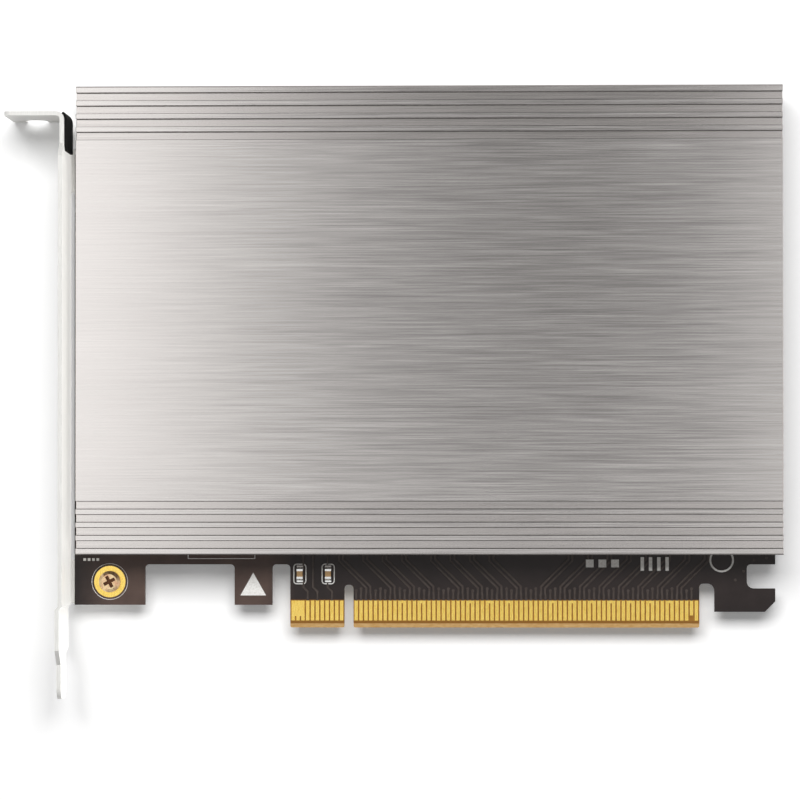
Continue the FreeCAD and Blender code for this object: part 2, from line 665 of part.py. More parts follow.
def thermal_pad(centre_x):
    start = socket_mouth + THERMAL_PAD_END_GAP
    end = standoff_y - STANDOFF_RADIUS - THERMAL_PAD_END_GAP
    half = THERMAL_PAD_WIDTH / 2
    return box((centre_x - half, centre_x + half), (start, end),
               (CHANNEL_HEIGHT - THERMAL_PAD_THICKNESS, CHANNEL_HEIGHT))


# Moulded power inductor: a pressed block with bevelled top edges and its two flat ends bent under.
def power_inductor(x, y):
    foot_width, foot_height = INDUCTOR_FOOT
    size = (INDUCTOR_SIZE[0], INDUCTOR_SIZE[1], INDUCTOR_SIZE[2] - foot_height)
    body = bevelled_top(block_at(x, y, size, foot_height), INDUCTOR_CHAMFER)
    feet = []
    for side in (-1, 1):
        foot_x = x + side * (INDUCTOR_SIZE[0] - foot_width) / 2
        feet.append(block_at(foot_x, y, (foot_width, INDUCTOR_SIZE[1] * 0.7, foot_height)))
    return body.fuse(feet)


def chip(x, y, size):
    return bevelled_top(block_at(x, y, size), CHIP_CHAMFER)


def edge_capacitor(x):
    """A chip capacitor's ceramic body and its two metal ends, which wrap the body."""
    wall = CHIP_TERMINAL_WALL
    ceramic_size = (CHIP_SIZE[0] - 2 * wall, CHIP_SIZE[1] - 2 * wall, CHIP_SIZE[2] - 2 * wall)
    ceramic = block_at(x, CHIP_Y, ceramic_size, wall)
    ends = []
    for side in (-1, 1):
        end_y = CHIP_Y + side * (CHIP_SIZE[1] - CHIP_TERMINAL) / 2
        end = block_at(x, end_y, (CHIP_SIZE[0], CHIP_TERMINAL, CHIP_SIZE[2]))
        ends.append(end.cut(ceramic))
    return ceramic, ends


os.makedirs("parts", exist_ok=True)

save("circuit_board", circuit_board())
save("edge_contacts_front", *front_contacts())
save("edge_contacts_back", *back_contacts())
save("ring_plating", *ring_plating())
save("slot_bracket", slot_bracket())
save("bracket_screws", *bracket_screws())
save("neck_pad", neck_pad())
save("heat_sink", heat_sink())
save("heat_sink_screws", *sink_screws())

for bay, bay_x in enumerate(bay_centres, start=1):
    save(f"socket_housing_{bay}", socket_housing(bay_x))
    save(f"socket_contacts_{bay}", *socket_contacts(bay_x))
    save(f"module_standoff_{bay}", module_standoff(bay_x))
    save(f"thermal_pad_{bay}", thermal_pad(bay_x))

inductor_x = BOARD_LEFT + POWER_STAGE_X
for stage in (1, 2):
    stage_y = POWER_STAGE_Y + (stage - 1) * POWER_STAGE_PITCH
    save(f"power_inductor_{stage}", power_inductor(inductor_x, stage_y))
    save(f"regulator_{stage}", chip(inductor_x + REGULATOR_FROM_INDUCTOR, stage_y, REGULATOR_SIZE))
    bulk_x = inductor_x + BULK_CAPACITOR_FROM_INDUCTOR
    save(f"bulk_capacitor_{stage}", chip(bulk_x, stage_y, BULK_CAPACITOR_SIZE))

save("clock_buffer", chip(inductor_x + REGULATOR_FROM_INDUCTOR, BUFFER_Y, BUFFER_SIZE))

for number, capacitor_x in enumerate(CHIP_X, start=1):
    body, ends = edge_capacitor(capacitor_x)
    save(f"edge_capacitor_{number}", body)
    save(f"edge_capacitor_ends_{number}", *ends)
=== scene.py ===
import math

import bmesh
import bpy
from mathutils import Matrix, Vector


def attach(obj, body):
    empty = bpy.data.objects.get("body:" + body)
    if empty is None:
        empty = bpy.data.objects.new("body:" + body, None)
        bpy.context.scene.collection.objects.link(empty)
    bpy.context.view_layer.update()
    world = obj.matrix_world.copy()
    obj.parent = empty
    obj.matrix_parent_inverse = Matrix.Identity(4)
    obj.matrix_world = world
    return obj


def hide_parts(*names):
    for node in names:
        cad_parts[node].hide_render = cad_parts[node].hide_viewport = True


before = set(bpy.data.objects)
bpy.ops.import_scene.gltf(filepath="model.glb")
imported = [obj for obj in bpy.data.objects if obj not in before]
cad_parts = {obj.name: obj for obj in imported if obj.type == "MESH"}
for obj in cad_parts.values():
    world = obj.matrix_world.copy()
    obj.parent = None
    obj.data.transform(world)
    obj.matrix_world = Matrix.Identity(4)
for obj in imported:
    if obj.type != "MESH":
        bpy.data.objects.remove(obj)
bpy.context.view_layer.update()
MM = 0.001

# CAMERA
# A long lens looks straight down on the card, which lies on its back on a white table.
# It stands near the middle of the board, so the cover's sides are seen almost edge-on.

SENSOR_WIDTH = 36.0
FOCAL_IN_SENSOR_WIDTHS = 5.45685
CLIP_START = 0.01
CLIP_END = 20
CAMERA_PLACE = Vector((38.2078, 32.0716, 899.601)) * MM
CAMERA_TURNS = ((0.001049, "Z"), (-0.030724, "Y"), (-0.016460, "X"))
camera_turn = Matrix.Identity(3)
for angle, axis in CAMERA_TURNS:
    camera_turn = camera_turn @ Matrix.Rotation(angle, 3, axis)
camera_data = bpy.data.cameras.new("camera")
camera_data.sensor_width = SENSOR_WIDTH
camera_data.lens = SENSOR_WIDTH * FOCAL_IN_SENSOR_WIDTHS
camera_data.clip_start = CLIP_START
camera_data.clip_end = CLIP_END
camera = bpy.data.objects.new("camera", camera_data)
camera.matrix_world = Matrix.Translation(CAMERA_PLACE) @ camera_turn.transposed().to_4x4()
bpy.context.scene.collection.objects.link(camera)
bpy.context.scene.camera = camera
bpy.context.scene.view_settings.view_transform = "Standard"

# CIRCUIT BOARD
# A routed glass-epoxy board, 1.57 mm thick, coated with black solder mask on both faces.
# Its routed edges are bare laminate, and so is the bevel below the edge contacts.

# The sockets of a colour Mix node: its factor, its two colours and its result.
FACTOR, FIRST, SECOND, MIXED = 0, 6, 7, 2
# Noise keeps to the middle of its range, so that part is stretched to fill the whole of it.
NOISE_SPREAD = {"From Min": 0.3, "From Max": 0.7}
NOISE_DETAIL = 3.0


def linear(hex_colour):
    """An sRGB hex colour as linear red, green, blue and alpha."""
    channels = [int(hex_colour[i:i + 2], 16) / 255 for i in (0, 2, 4)]
    levels = [c / 12.92 if c <= 0.04045 else ((c + 0.055) / 1.055) ** 2.4 for c in channels]
    return (*levels, 1.0)


def add(tree, kind, sockets=None, **settings):
    """Adds one shader node. Each socket gets a value, or a link from another node's output."""
    made = tree.nodes.new(kind)
    for name, value in settings.items():
        setattr(made, name, value)
    for name, value in (sockets or {}).items():
        if isinstance(value, bpy.types.NodeSocket):
            tree.links.new(value, made.inputs[name])
        else:
            made.inputs[name].default_value = value
    return made


def new_material(name):
    """An empty material and its node tree."""
    material = bpy.data.materials.new(name)
    material.use_nodes = True
    material.node_tree.nodes.clear()
    return material, material.node_tree


def dress(name, material):
    """Gives a CAD node its material."""
    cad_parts[name].data.materials.clear()
    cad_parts[name].data.materials.append(material)


# Where the copper plane's tint fades in and out along X: from none to full. The fade in beside the
# bracket leaves the board dark there as painted shade.
PLANE_SHADE_FADE = (-56, -47)
PLANE_END = (-11, -17)
MASK_EDGE_Y = 5.7
TABS_START_X = -12.3
TABS_END_X = 73
BEVEL_MIDDLE_Y = 0.85
# How far a face's normal has to rise for it to count as level, or as sloped.
FACE_LIMIT = 0.99
SLOPE_LIMIT = 0.5
MASK_IOR = 1.5
MASK_SPECULAR = 0.25
# Glass epoxy with matt black solder mask: a dark brown film, browner over the copper plane below
# the two feet, but kept dark beside the bracket as painted shade. The weave under it gives a faint
# ripple 0.5 mm wide.
solder_mask, tree = new_material("black_solder_mask_on_glass_epoxy")
place = add(tree, "ShaderNodeTexCoord").outputs["Object"]
where = add(tree, "ShaderNodeSeparateXYZ", {"Vector": place}).outputs
normal = add(tree, "ShaderNodeNewGeometry").outputs["True Normal"]
facing = add(tree, "ShaderNodeSeparateXYZ", {"Vector": normal}).outputs["Z"]
upright = add(tree, "ShaderNodeMath", {0: facing}, operation="ABSOLUTE").outputs[0]
is_face, is_sloped, on_front = [
    add(tree, "ShaderNodeMath", {0: rise, 1: limit}, operation="GREATER_THAN").outputs[0]
    for rise, limit in ((upright, FACE_LIMIT), (upright, SLOPE_LIMIT), (facing, SLOPE_LIMIT))
]
cloud, dulling, weave = [
    add(tree, "ShaderNodeTexNoise", {
        "Vector": place, "Scale": 1 / (width * MM), "Detail": NOISE_DETAIL}).outputs["Fac"]
    for width in (6.0, 0.9, 0.5)
]
strands = add(tree, "ShaderNodeMapping", {
    "Vector": place, "Scale": tuple(1 / (0.18 * MM * stretch) for stretch in (6, 6, 1))}).outputs[0]
fibres = add(tree, "ShaderNodeTexNoise", {
    "Vector": strands, "Scale": 1.0, "Detail": NOISE_DETAIL}).outputs["Fac"]
cloud_share, fibre_share = [
    add(tree, "ShaderNodeMapRange", {"Value": noise, **NOISE_SPREAD}).outputs[0]
    for noise in (cloud, fibres)
]
# The mask stops short of the contacts, so bare amber laminate shows between them.
mask_dark, mask_plane, amber, lower_bevel, routed = [
    add(tree, "ShaderNodeMix", {
        FACTOR: share, FIRST: linear(dark), SECOND: linear(pale)}, data_type="RGBA").outputs[MIXED]
    for share, dark, pale in (
        (cloud_share, "231d1c", "2d2625"), (cloud_share, "4a3c37", "5a4a43"),
        (fibre_share, "85591f", "a2722e"), (fibre_share, "c89a5c", "dcb67e"),
        (fibre_share, "3a2e25", "5a4838"))
]
# The fade beside the bracket is painted shade; the other is the plane's soft edge.
plane_shade_fade, plane_end = [
    add(tree, "ShaderNodeMapRange", {
        "Value": where["X"], "From Min": none * MM, "From Max": full * MM}).outputs[0]
    for none, full in (PLANE_SHADE_FADE, PLANE_END)
]
below_mask, past_start, before_end, on_upper_bevel = [
    add(tree, "ShaderNodeMath", {0: where[axis], 1: limit * MM}, operation=test).outputs[0]
    for axis, test, limit in (
        ("Y", "LESS_THAN", MASK_EDGE_Y), ("X", "GREATER_THAN", TABS_START_X),
        ("X", "LESS_THAN", TABS_END_X), ("Y", "GREATER_THAN", BEVEL_MIDDLE_Y))
]
over_plane_and_shade, bare = [
    add(tree, "ShaderNodeMath", {
        0: add(tree, "ShaderNodeMath", {0: one, 1: two}, operation="MULTIPLY").outputs[0],
        1: three}, operation="MULTIPLY").outputs[0]
    for one, two, three in (
        (plane_shade_fade, plane_end, on_front), (below_mask, past_start, before_end))
]
# Each colour lies over the one before it, where its own test is true.
mask_colour = mask_dark
for share, over in ((over_plane_and_shade, mask_plane), (bare, amber)):
    mask_colour = add(tree, "ShaderNodeMix", {
        FACTOR: share, FIRST: mask_colour, SECOND: over}, data_type="RGBA").outputs[MIXED]
bevel_colour = add(tree, "ShaderNodeMix", {
    FACTOR: on_upper_bevel, FIRST: lower_bevel, SECOND: linear("94652a")},
    data_type="RGBA").outputs[MIXED]
board_colour = routed
for share, over in ((is_sloped, bevel_colour), (is_face, mask_colour)):
    board_colour = add(tree, "ShaderNodeMix", {
        FACTOR: share, FIRST: board_colour, SECOND: over}, data_type="RGBA").outputs[MIXED]
roughness = add(tree, "ShaderNodeMapRange", {
    "Value": dulling, **NOISE_SPREAD, "To Min": 0.30, "To Max": 0.42}).outputs[0]
relief = add(tree, "ShaderNodeBump", {
    "Height": weave, "Strength": 1.0, "Distance": 0.004 * MM}).outputs[0]
shader = add(tree, "ShaderNodeBsdfPrincipled", {
    "Base Color": board_colour, "Roughness": roughness, "IOR": MASK_IOR,
    "Specular IOR Level": MASK_SPECULAR, "Normal": relief}).outputs[0]
add(tree, "ShaderNodeOutputMaterial", {"Surface": shader})
dress("circuit_board", solder_mask)

# COPPER TRACES AND VIAS
# Pairs of copper traces, 35 microns thick, rise from the contacts and fan out to the four bays.
# They lie under the solder mask, and small plated holes take the others to the inner layers.

PINS_BEFORE_KEY = 11
PIN_FROM_KEY = 1.5
LAST_PIN = 82
LANE_PINS = (14, 19, 23, 27, 33, 37, 41, 45, 50, 54, 58, 62, 66, 70, 74, 78)
TRACE_WIDTH = 0.5
TRACE_HEIGHT = 0.07
TRACE_START = 5.3
PAIR_BEND_START = 6.6
PAIR_BEND_END = 7.1
PAIR_GAP = 0.85
TRACE_TURN_HEIGHT = 8.3
TURN_STAGGER = 0.3
TRACE_TOP = 20.2
FAN_CENTRE = 38.0
FAN_REACH = 5.6
STUB_TOP = 7.6
STUB_STAGGER = 0.4
POWER_X = (-8.5, -6.5, -3.5)
POWER_TURN_START = 7.4
POWER_SIDESTEP = 0.9
POWER_TOP = 16.0
BOARD_BACK = -1.57
BOARD_FACES = (("front", 0.0), ("back", BOARD_BACK))


def place_piece(piece, name, material):
    """Names a finished piece, gives it its material and fixes it to the card."""
    piece.name = name
    piece.data.name = name
    piece.data.materials.clear()
    piece.data.materials.append(material)
    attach(piece, "root")


def pin_x(pin):
    """Where a contact stands along X, counted away from the key on either side of it."""
    if pin > PINS_BEFORE_KEY:
        return pin - PINS_BEFORE_KEY - 1 + PIN_FROM_KEY
    return pin - PINS_BEFORE_KEY - PIN_FROM_KEY


def deselect():
    """Leaves no object and no mesh element selected."""
    if bpy.context.object is not None and bpy.context.object.mode != "OBJECT":
        bpy.ops.object.mode_set(mode="OBJECT")
    bpy.ops.object.select_all(action="DESELECT")


def join(pieces):
    """Joins separate meshes into the first of them."""
    deselect()
    for piece in pieces:
        piece.select_set(True)
    bpy.context.view_layer.objects.active = pieces[0]
    bpy.ops.object.join()
    bpy.ops.object.transform_apply(location=True, rotation=True, scale=True)
    return pieces[0]


def lines(paths, width, height, level):
    """Flat lines of one width along paths, with closed ends, as one mesh lying at a level."""
    data = bpy.data.curves.new("lines", "CURVE")
    data.dimensions = "3D"
    data.bevel_depth = width / 2 * MM
    data.bevel_resolution = 1
    data.use_fill_caps = True
    for path, closed in paths:
        spline = data.splines.new("POLY")
        spline.points.add(len(path) - 1)
        for point, (x, y) in zip(spline.points, path):
            point.co = (x * MM, y * MM, 0, 1)
        spline.use_cyclic_u = closed
    drawn = bpy.data.objects.new("lines", data)
    bpy.context.scene.collection.objects.link(drawn)
    deselect()
    drawn.select_set(True)
    bpy.context.view_layer.objects.active = drawn
    bpy.ops.object.convert(target="MESH")
    made = bpy.context.object
    made.scale = (1, 1, height / width)
    made.location = (0, 0, level * MM)
    bpy.ops.object.transform_apply(location=True, rotation=True, scale=True)
    bpy.ops.object.mode_set(mode="EDIT")
    bpy.ops.mesh.select_all(action="SELECT")
    bpy.ops.mesh.normals_make_consistent(inside=False)
    bpy.ops.object.mode_set(mode="OBJECT")
    return made


def fan_paths():
    """The paired traces from the contacts to the sockets."""
    paths = []
    for pin in LANE_PINS:
        side = -1 if pin_x(pin) < FAN_CENTRE else 1
        for member in (0, 1):
            start = pin_x(pin + member)
            middle = pin_x(pin) + 0.5 + (member - 0.5) * PAIR_GAP
            outer = middle + side * FAN_REACH
            turn = TRACE_TURN_HEIGHT - side * (member - 0.5) * TURN_STAGGER
            paths.append(([
                (start, TRACE_START), (start, PAIR_BEND_START), (middle, PAIR_BEND_END),
                (middle, turn), (outer, turn + FAN_REACH), (outer, TRACE_TOP),
            ], False))
    return paths


via_pins = [
    pin for pin in range(PINS_BEFORE_KEY + 1, LAST_PIN)
    if all(abs(pin - lane - 0.5) > 1 for lane in LANE_PINS)
]
stub_tops = [(pin_x(pin), STUB_TOP + STUB_STAGGER * (pin % 2)) for pin in via_pins]
stub_paths = [([(x, TRACE_START), (x, y)], False) for x, y in stub_tops]
power_tops = [(x - POWER_SIDESTEP, POWER_TOP) for x in POWER_X]
power_paths = [
    ([(x, TRACE_START), (x, POWER_TURN_START),
      (x - POWER_SIDESTEP, POWER_TURN_START + POWER_SIDESTEP),
      (x - POWER_SIDESTEP, POWER_TOP)], False)
    for x in POWER_X
]
# Copper under black solder mask: the film is thin over it, so it shows as a warmer, paler line.
masked_copper, tree = new_material("solder_mask_over_copper")
place = add(tree, "ShaderNodeTexCoord").outputs["Object"]
tint, dulling, ripple = [
    add(tree, "ShaderNodeTexNoise", {
        "Vector": place, "Scale": 1 / (width * MM), "Detail": NOISE_DETAIL}).outputs["Fac"]
    for width in (1.2, 0.9, 0.4)
]
tint_share = add(tree, "ShaderNodeMapRange", {"Value": tint, **NOISE_SPREAD}).outputs[0]
copper_colour = add(tree, "ShaderNodeMix", {
    FACTOR: tint_share, FIRST: linear("3f3733"), SECOND: linear("4c4440")},
    data_type="RGBA").outputs[MIXED]
roughness = add(tree, "ShaderNodeMapRange", {
    "Value": dulling, **NOISE_SPREAD, "To Min": 0.32, "To Max": 0.44}).outputs[0]
relief = add(tree, "ShaderNodeBump", {
    "Height": ripple, "Strength": 1.0, "Distance": 0.003 * MM}).outputs[0]
shader = add(tree, "ShaderNodeBsdfPrincipled", {
    "Base Color": copper_colour, "Roughness": roughness, "IOR": MASK_IOR,
    "Specular IOR Level": MASK_SPECULAR, "Normal": relief}).outputs[0]
add(tree, "ShaderNodeOutputMaterial", {"Surface": shader})
for face_name, level in BOARD_FACES:
    traces = lines(fan_paths() + stub_paths + power_paths, TRACE_WIDTH, TRACE_HEIGHT, level)
    place_piece(traces, "traces_" + face_name, masked_copper)

VIA_RADIUS = 0.3
VIA_HEIGHT = 0.09
VIA_HOLE_SHARE = 0.45
VIA_DISH_SHARE = 0.4
VIA_SIDES = 12
FOOT_VIAS = [(-38 + 2.6 * i, 15.2) for i in range(6)]
HOOK_VIAS = [(79.5, 9.8), (81.2, 11.6), (83.4, 13.9), (85.9, 14.3)]


def eyelets(places, radius, height, level, sides):
    """Low round eyelets with a dished middle: one is modelled, and the others are copies of it."""
    deselect()
    bpy.ops.mesh.primitive_cylinder_add(
        vertices=sides, radius=radius * MM, depth=height * MM, location=(0, 0, 0))
    first = bpy.context.object
    bpy.ops.object.mode_set(mode="EDIT")
    bpy.ops.mesh.select_all(action="DESELECT")
    edit = bmesh.from_edit_mesh(first.data)
    for face in edit.faces:
        face.select = abs(face.normal.z) > 0.9
    bmesh.update_edit_mesh(first.data)
    bpy.ops.mesh.inset(thickness=radius * (1 - VIA_HOLE_SHARE) * MM, use_individual=True)
    bpy.ops.mesh.extrude_region_shrink_fatten(
        TRANSFORM_OT_shrink_fatten={"value": -height * VIA_DISH_SHARE * MM})
    bpy.ops.object.mode_set(mode="OBJECT")
    copies = [first]
    for x, y in places[1:]:
        copy = first.copy()
        copy.data = first.data.copy()
        copy.location = (x * MM, y * MM, level * MM)
        bpy.context.scene.collection.objects.link(copy)
        copies.append(copy)
    first.location = (places[0][0] * MM, places[0][1] * MM, level * MM)
    return join(copies)


via_places = stub_tops + power_tops + FOOT_VIAS + HOOK_VIAS
for face_name, level in BOARD_FACES:
    vias = eyelets(via_places, VIA_RADIUS, VIA_HEIGHT, level, VIA_SIDES)
    place_piece(vias, "vias_" + face_name, masked_copper)

# SILKSCREEN
# White epoxy ink printed over the mask: outlines round the small parts, a frame, and plain marks.
# Its lines stand 25 microns above the mask, and its solid marks 60 microns.

SILK_WIDTH = 0.22
SILK_HEIGHT = 0.05
INK_PATCH_HEIGHT = 0.06
CAPACITOR_X = (-10.12, -4.28)
OUTLINE_HALF_WIDTH = 1.25
OUTLINE_BOTTOM = 9.0
OUTLINE_TOP = 13.05
OUTLINE_RADIUS = 0.6
CORNER_STEPS = 4
FRAME_PATH = [(-33.2, 20.0), (-33.2, 14.2), (-19.4, 14.2), (-19.4, 20.0)]
CIRCLE_PLACE = (76.7, 13.9)
CIRCLE_RADII = (2.25, 2.42)
CIRCLE_STEPS = 35
SCREW_X = -49.4
SCREW_Y = 9.45
RING_RADIUS = 3.7
RING_LINE_WIDTH = 0.1
RING_STEPS = 59
TRIANGLE = [(-22.4, 6.6), (-17.1, 6.6), (-19.75, 11.3)]
# Rows of printed bars: first X, Y, pitch, half width, half height and how many.
MARK_ROWS = (
    (49.6, 13.2, 2.6, 0.8, 0.8, 3),
    (60.4, 13.1, 1.7, 0.35, 1.4, 4),
    (-54.6, 14.0, 0.9, 0.28, 0.28, 4),
)
# Epoxy ink: matt, slightly grey where the print is thin.
silk_ink, tree = new_material("white_epoxy_ink_printed")
place = add(tree, "ShaderNodeTexCoord").outputs["Object"]
thinness, grit = [
    add(tree, "ShaderNodeTexNoise", {
        "Vector": place, "Scale": 1 / (width * MM), "Detail": NOISE_DETAIL}).outputs["Fac"]
    for width in (0.35, 0.2)
]
thin_share = add(tree, "ShaderNodeMapRange", {"Value": thinness, **NOISE_SPREAD}).outputs[0]
ink_colour = add(tree, "ShaderNodeMix", {
    FACTOR: thin_share, FIRST: linear("e2e0db"), SECOND: linear("fbfaf7")},
    data_type="RGBA").outputs[MIXED]
relief = add(tree, "ShaderNodeBump", {
    "Height": grit, "Strength": 1.0, "Distance": 0.003 * MM}).outputs[0]
shader = add(tree, "ShaderNodeBsdfPrincipled", {
    "Base Color": ink_colour, "Roughness": 0.62, "Normal": relief}).outputs[0]
add(tree, "ShaderNodeOutputMaterial", {"Surface": shader})


def arc(centre_x, centre_y, radius, start, end, steps):
    """Points along an arc, from one angle in degrees to another."""
    angles = [math.radians(start + (end - start) * i / steps) for i in range(steps + 1)]
    return [(centre_x + radius * math.cos(a), centre_y + radius * math.sin(a)) for a in angles]


def circle(centre_x, centre_y, radius, steps):
    """Points round a circle, without the last one, which would meet the first."""
    return arc(centre_x, centre_y, radius, 0, 360 - 360 / (steps + 1), steps)


def rounded_box(left, bottom, right, top, radius):
    """The outline of a box with rounded corners."""
    points = []
    for x, y, start in ((right - radius, bottom + radius, -90), (right - radius, top - radius, 0),
                        (left + radius, top - radius, 90), (left + radius, bottom + radius, 180)):
        points += arc(x, y, radius, start, start + 90, CORNER_STEPS)
    return points


outlines = [
    (rounded_box(x - OUTLINE_HALF_WIDTH, OUTLINE_BOTTOM, x + OUTLINE_HALF_WIDTH, OUTLINE_TOP,
                 OUTLINE_RADIUS), True)
    for x in CAPACITOR_X
]
outlines.append((FRAME_PATH, False))
outlines += [(circle(*CIRCLE_PLACE, radius, CIRCLE_STEPS), True) for radius in CIRCLE_RADII]
silk_lines = lines(outlines, SILK_WIDTH, SILK_HEIGHT, 0)
place_piece(silk_lines, "silk_outlines", silk_ink)
ring_path = circle(SCREW_X, SCREW_Y, RING_RADIUS, RING_STEPS)
screw_ring = lines([(ring_path, True)], RING_LINE_WIDTH, SILK_HEIGHT, 0)
place_piece(screw_ring, "silk_screw_ring", silk_ink)


def ink_patch(corners):
    """A flat printed patch with a little thickness."""
    deselect()
    bpy.ops.mesh.primitive_circle_add(
        vertices=len(corners), radius=MM, fill_type="NGON", location=(0, 0, 0))
    patch = bpy.context.object
    for vertex, (x, y) in zip(patch.data.vertices, corners):
        vertex.co = (x * MM, y * MM, 0)
    bpy.ops.object.mode_set(mode="EDIT")
    bpy.ops.mesh.select_all(action="SELECT")
    bpy.ops.mesh.extrude_region_move(
        TRANSFORM_OT_translate={"value": (0, 0, INK_PATCH_HEIGHT * MM)})
    bpy.ops.mesh.select_all(action="SELECT")
    bpy.ops.mesh.normals_make_consistent(inside=False)
    bpy.ops.object.mode_set(mode="OBJECT")
    return patch


def bar(x, y, half_x, half_y):
    """The corners of an upright box."""
    return [(x - half_x, y - half_y), (x + half_x, y - half_y),
            (x + half_x, y + half_y), (x - half_x, y + half_y)]


patches = [TRIANGLE]
for first_x, y, pitch, half_x, half_y, count in MARK_ROWS:
    patches += [bar(first_x + pitch * i, y, half_x, half_y) for i in range(count)]
marks = join([ink_patch(corners) for corners in patches])
place_piece(marks, "silk_marks", silk_ink)

# EDGE CONTACTS AND RINGS
# Copper fingers plated with hard gold over nickel, 82 on each face, with some grounds joined.
# Two bare gold rings stand round the bracket screws.

# Hard gold: bright and slightly satin. Fine scratches run along Y, the way the card is pushed in.
hard_gold, tree = new_material("hard_gold_plated")
place = add(tree, "ShaderNodeTexCoord").outputs["Object"]
scratches, satin = [
    add(tree, "ShaderNodeTexNoise", {
        "Vector": add(tree, "ShaderNodeMapping", {
            "Vector": place,
            "Scale": tuple(1 / (width * MM * s) for s in (1, stretch, 1))}).outputs[0],
        "Scale": 1.0, "Detail": NOISE_DETAIL}).outputs["Fac"]
    for width, stretch in ((0.05, 30), (0.4, 6))
]
scratch_share = add(tree, "ShaderNodeMapRange", {"Value": scratches, **NOISE_SPREAD}).outputs[0]
gold_colour = add(tree, "ShaderNodeMix", {
    FACTOR: scratch_share, FIRST: linear("eabd52"), SECOND: linear("ffe584")},
    data_type="RGBA").outputs[MIXED]
roughness = add(tree, "ShaderNodeMapRange", {
    "Value": satin, **NOISE_SPREAD, "To Min": 0.16, "To Max": 0.26}).outputs[0]
relief = add(tree, "ShaderNodeBump", {
    "Height": scratches, "Strength": 1.0, "Distance": 0.002 * MM}).outputs[0]
shader = add(tree, "ShaderNodeBsdfPrincipled", {
    "Base Color": gold_colour, "Metallic": 1.0, "Roughness": roughness,
    "Normal": relief}).outputs[0]
add(tree, "ShaderNodeOutputMaterial", {"Surface": shader})
for name in ("edge_contacts_front", "edge_contacts_back", "ring_plating"):
    dress(name, hard_gold)

# SLOT BRACKET
# A sheet of steel, 0.86 mm thick, punched and folded, then nickel plated all over.
# Two ears folded behind the board take its screws.

# Nickel plate on rolled steel: pale and satin, with faint rolling lines along Y.
nickel_plate, tree = new_material("nickel_plated_sheet_steel")
place = add(tree, "ShaderNodeTexCoord").outputs["Object"]
rolled = add(tree, "ShaderNodeMapping", {
    "Vector": place,
    "Scale": tuple(1 / (0.12 * MM * stretch) for stretch in (1, 25, 1))}).outputs[0]
rolling = add(tree, "ShaderNodeTexNoise", {
    "Vector": rolled, "Scale": 1.0, "Detail": NOISE_DETAIL}).outputs["Fac"]
dulling = add(tree, "ShaderNodeTexNoise", {
    "Vector": place, "Scale": 1 / (1.6 * MM), "Detail": NOISE_DETAIL}).outputs["Fac"]
rolling_share = add(tree, "ShaderNodeMapRange", {"Value": rolling, **NOISE_SPREAD}).outputs[0]
plate_colour = add(tree, "ShaderNodeMix", {
    FACTOR: rolling_share, FIRST: linear("d6d5d1"), SECOND: linear("e6e5e2")},
    data_type="RGBA").outputs[MIXED]
roughness = add(tree, "ShaderNodeMapRange", {
    "Value": dulling, **NOISE_SPREAD, "To Min": 0.38, "To Max": 0.52}).outputs[0]
relief = add(tree, "ShaderNodeBump", {
    "Height": rolling, "Strength": 1.0, "Distance": 0.003 * MM}).outputs[0]
shader = add(tree, "ShaderNodeBsdfPrincipled", {
    "Base Color": plate_colour, "Metallic": 0.35, "Roughness": roughness,
    "Normal": relief}).outputs[0]
add(tree, "ShaderNodeOutputMaterial", {"Surface": shader})
dress("slot_bracket", nickel_plate)

# NECK PAD
# A die-cut strip of black foam rubber stuck to the bracket's neck.
# Its open cells leave the surface matt and slightly pitted.

# Foam rubber: matt black, with cells 0.25 mm wide.
foam_rubber, tree = new_material("black_foam_rubber")
place = add(tree, "ShaderNodeTexCoord").outputs["Object"]
cells = add(tree, "ShaderNodeTexNoise", {
    "Vector": place, "Scale": 1 / (0.25 * MM), "Detail": NOISE_DETAIL}).outputs["Fac"]
cell_share = add(tree, "ShaderNodeMapRange", {"Value": cells, **NOISE_SPREAD}).outputs[0]
foam_colour = add(tree, "ShaderNodeMix", {
    FACTOR: cell_share, FIRST: linear("080707"), SECOND: linear("141212")},
    data_type="RGBA").outputs[MIXED]
relief = add(tree, "ShaderNodeBump", {
    "Height": cells, "Strength": 1.0, "Distance": 0.04 * MM}).outputs[0]
shader = add(tree, "ShaderNodeBsdfPrincipled", {
    "Base Color": foam_colour, "Roughness": 0.9, "Specular IOR Level": 0.25,
    "Normal": relief}).outputs[0]
add(tree, "ShaderNodeOutputMaterial", {"Surface": shader})
dress("neck_pad", foam_rubber)

# SCREWS
# Pan heads with a cross recess: two hold the bracket, in yellow-passivated steel.
# Six more, nickel plated, pass the board from behind into the cover's rails.

RING_TOP = 0.05
BRACKET_HEAD_HEIGHT = 1.3
COVER_HEAD_HEIGHT = 1.2
# Shares of the head's height between which the recess lies.
RECESS_BOTTOM_SHARE = 0.48
RECESS_TOP_SHARE = 0.97
# How far the head's cone is turned up, give or take: it isn't part of the recess.
CONE_RISE = 0.7
CONE_RISE_SPREAD = 0.25
SATIN_RANGE = 0.14


